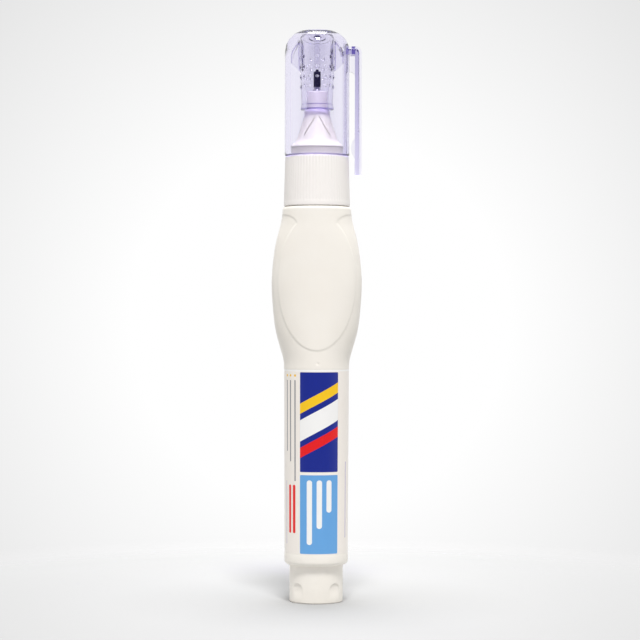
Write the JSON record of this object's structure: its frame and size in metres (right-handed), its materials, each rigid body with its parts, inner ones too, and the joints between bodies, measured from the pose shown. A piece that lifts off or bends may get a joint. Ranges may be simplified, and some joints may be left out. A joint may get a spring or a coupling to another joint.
{
  "type": "correction pen",
  "caption": "Squeeze correction pen with a flattened grip, screw collar, sprung needle tip, clear violet cap with a pocket clip, and a steel mixing ball in the bottle",
  "frame": {"origin": "centre of the flat end of the tail post, on the pen's long axis", "axes": "+Z along the pen from the tail to the tip, +X towards the pocket clip, the printed front of the grip towards -Y"},
  "size_m": [0.0214, 0.0166, 0.136],
  "materials": {
    "ivory_plastic": "satin moulded polyethylene",
    "white_plastic": "satin moulded polypropylene",
    "printed_film": "semi-gloss printed film",
    "seal_rubber": "soft matt seal",
    "dark_steel": "drawn steel tube, dark",
    "spring_steel": "bright steel",
    "clear_violet": "clear violet polystyrene, polished"
  },
  "bodies": {
    "bottle_body": {"bottle": "ivory_plastic", "tail_plug": "ivory_plastic", "label": "printed_film"},
    "nozzle_body": {"nozzle": "white_plastic", "neck_gasket": "seal_rubber", "metal_tip": "dark_steel", "spring_seat": "white_plastic", "valve_spring": "spring_steel"},
    "collar_body": {"collar": "white_plastic"},
    "needle_body": {"valve_needle": "dark_steel"},
    "cap_body": {"cap_shell": "clear_violet", "inner_cap": "clear_violet"},
    "clip_body": {"clip": "clear_violet"},
    "ball_body": {"mixing_ball": "spring_steel"}
  },
  "joints": [
    {"name": "nozzle_lift", "type": "slide", "parent": "bottle_body", "child": "nozzle_body", "axis": [0, 0, 1], "range_m": [0, 0.004]},
    {"name": "collar_turn", "type": "hinge", "parent": "nozzle_body", "child": "collar_body", "pos_m": [0, 0, 0.1], "axis": [0, 0, 1], "range_deg": [0, 721]},
    {"name": "cap_pull", "type": "slide", "parent": "nozzle_body", "child": "cap_body", "axis": [0, 0, 1], "range_m": [0, 0.034]},
    {"name": "clip_flex", "type": "hinge", "parent": "cap_body", "child": "clip_body", "pos_m": [0.00707, 0, 0.13118], "axis": [0, -1, 0], "range_deg": [0, 4], "stiffness_Nm_per_rad": 0.2, "springref_deg": -1.15},
    {"name": "needle_press", "type": "slide", "parent": "nozzle_body", "child": "needle_body", "axis": [0, 0, -1], "range_m": [0, 0.00045], "stiffness_N_per_m": 60, "springref_m": -0.002, "deforming": ["valve_spring"]},
    {"name": "ball_shake", "type": "slide", "parent": "bottle_body", "child": "ball_body", "axis": [0, 0, 1], "range_m": [0, 0.093]}
  ],
  "couplings": [
    {"joint": "collar_turn", "follows": "nozzle_lift", "rad_per_m": 3141.6}
  ]
}
